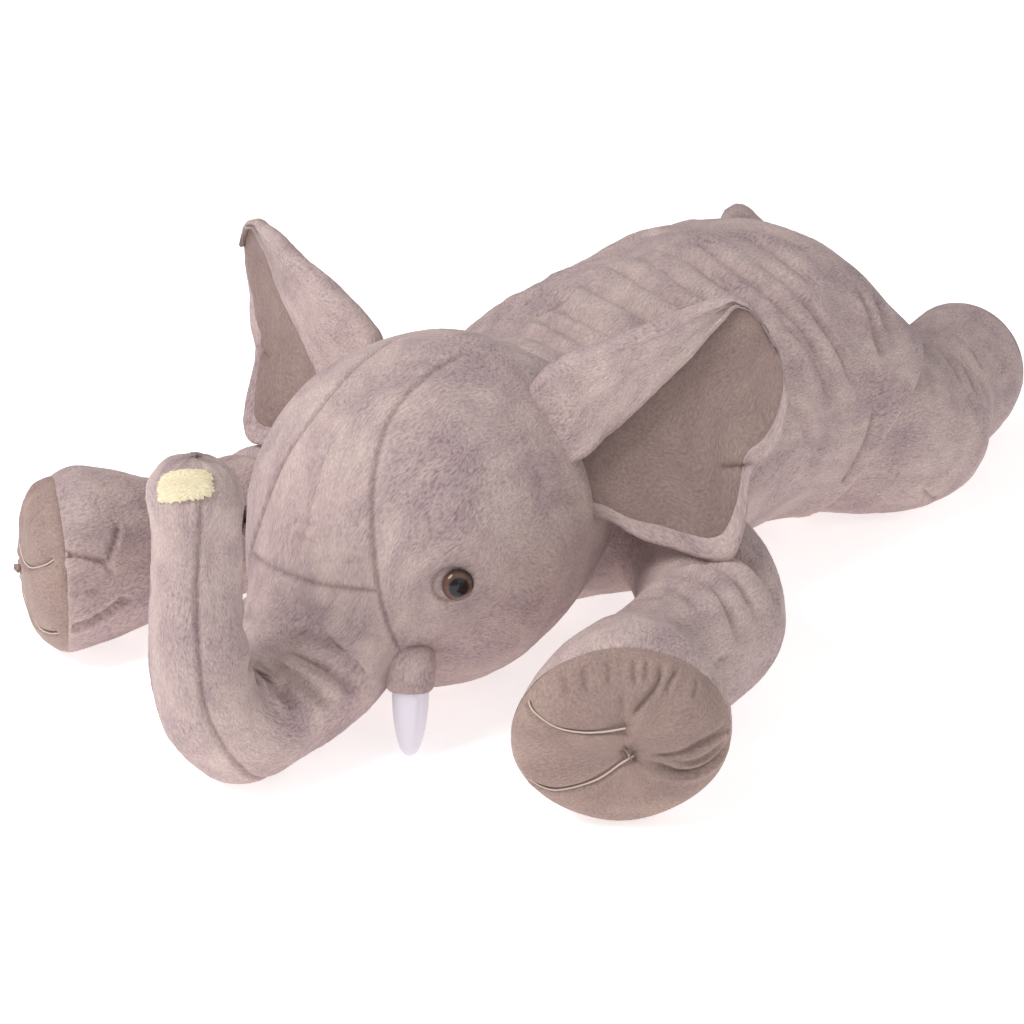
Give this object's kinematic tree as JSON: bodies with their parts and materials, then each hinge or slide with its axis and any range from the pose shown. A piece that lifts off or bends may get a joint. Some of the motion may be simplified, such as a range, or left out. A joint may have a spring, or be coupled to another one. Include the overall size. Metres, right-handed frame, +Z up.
{
  "type": "plush elephant",
  "caption": "Large plush elephant toy lying on its belly with upturned trunk, folded ears, spread legs, stuffed cloth soles and a short tail.",
  "frame": {"origin": "on the floor under the belly, in the middle of the footprint", "axes": "+Z up, the elephant faces -Y, its left side is +X"},
  "size_m": [0.686, 1.1298, 0.356],
  "materials": {
    "plush": "short pile plush, matt",
    "ear_velour": "smooth short velour",
    "sole_velour": "smooth short velour",
    "nostril_velour": "smooth short velour",
    "tusk_cloth": "short white plush",
    "polyester_fill": "loose fibre",
    "toe_thread": "twisted thread",
    "eye_plastic": "polished",
    "washer_plastic": "moulded"
  },
  "bodies": {
    "torso": {"torso_left_panel": "plush", "torso_right_panel": "plush", "torso_belly_panel": "plush", "torso_stuffing": "polyester_fill"},
    "neck": {"neck_cover": "plush", "neck_stuffing": "polyester_fill"},
    "head": {"head_left_panel": "plush", "head_right_panel": "plush", "forehead_panel": "plush", "chin_panel": "plush", "trunk_base_cover": "plush", "head_stuffing": "polyester_fill", "eye_left": "eye_plastic", "eye_right": "eye_plastic", "eye_washer_left": "washer_plastic", "eye_washer_right": "washer_plastic", "tusk_left": "tusk_cloth", "tusk_right": "tusk_cloth", "tusk_collar_left": "plush", "tusk_collar_right": "plush"},
    "trunk_tip": {"trunk_tip_panel": "plush", "trunk_under_panel": "plush", "trunk_tip_stuffing": "polyester_fill", "nostril_patch": "nostril_velour"},
    "ear_left": {"ear_left_back": "plush", "ear_left_wadding": "polyester_fill", "ear_left_lining": "ear_velour"},
    "ear_right": {"ear_right_back": "plush", "ear_right_wadding": "polyester_fill", "ear_right_lining": "ear_velour"},
    "front_left_leg": {"front_left_cover": "plush", "front_left_sole": "sole_velour", "front_left_stuffing": "polyester_fill", "front_left_threads": "toe_thread"},
    "front_right_leg": {"front_right_cover": "plush", "front_right_sole": "sole_velour", "front_right_stuffing": "polyester_fill", "front_right_threads": "toe_thread"},
    "hind_left_leg": {"hind_left_cover": "plush", "hind_left_sole": "sole_velour", "hind_left_stuffing": "polyester_fill"},
    "hind_right_leg": {"hind_right_cover": "plush", "hind_right_sole": "sole_velour", "hind_right_stuffing": "polyester_fill"},
    "tail": {"tail_cover": "plush", "tail_stuffing": "polyester_fill"}
  },
  "joints": [
    {"name": "head_turn", "type": "hinge", "parent": "torso", "child": "neck", "pos_m": [0, -0.136, 0.142], "axis": [0, 0, 1], "range_deg": [-8, 8], "stiffness_Nm_per_rad": 1.5},
    {"name": "head_nod", "type": "hinge", "parent": "neck", "child": "head", "pos_m": [0, -0.136, 0.142], "axis": [-1, 0, 0], "range_deg": [0, 12]},
    {"name": "trunk_curl", "type": "hinge", "parent": "head", "child": "trunk_tip", "pos_m": [0, -0.512, 0.05], "axis": [-1, 0, 0], "range_deg": [-25, 12], "stiffness_Nm_per_rad": 2},
    {"name": "ear_left_flap", "type": "hinge", "parent": "head", "child": "ear_left", "pos_m": [0.078, -0.212, 0.27], "axis": [-0.4863, 0, 0.8738], "range_deg": [-35, 12], "stiffness_Nm_per_rad": 0.6},
    {"name": "ear_right_flap", "type": "hinge", "parent": "head", "child": "ear_right", "pos_m": [-0.078, -0.212, 0.27], "axis": [-0.4863, 0, -0.8738], "range_deg": [-12, 35], "stiffness_Nm_per_rad": 0.6},
    {"name": "front_left_leg_swing", "type": "hinge", "parent": "torso", "child": "front_left_leg", "pos_m": [0.125, -0.068, 0.07], "axis": [0, 0, 1], "range_deg": [-2, 25], "stiffness_Nm_per_rad": 0.8},
    {"name": "front_right_leg_swing", "type": "hinge", "parent": "torso", "child": "front_right_leg", "pos_m": [-0.125, -0.068, 0.07], "axis": [0, 0, -1], "range_deg": [-2, 25], "stiffness_Nm_per_rad": 0.8},
    {"name": "hind_left_leg_swing", "type": "hinge", "parent": "torso", "child": "hind_left_leg", "pos_m": [0.13, 0.315, 0.072], "axis": [0, 0, -1], "range_deg": [-2, 25], "stiffness_Nm_per_rad": 0.8},
    {"name": "hind_right_leg_swing", "type": "hinge", "parent": "torso", "child": "hind_right_leg", "pos_m": [-0.13, 0.315, 0.072], "axis": [0, 0, 1], "range_deg": [-2, 25], "stiffness_Nm_per_rad": 0.8},
    {"name": "tail_swing", "type": "hinge", "parent": "torso", "child": "tail", "pos_m": [-0.015, 0.334, 0.237], "axis": [0, 0.5524, 0.8336], "range_deg": [-15, 15], "stiffness_Nm_per_rad": 0.05}
  ]
}
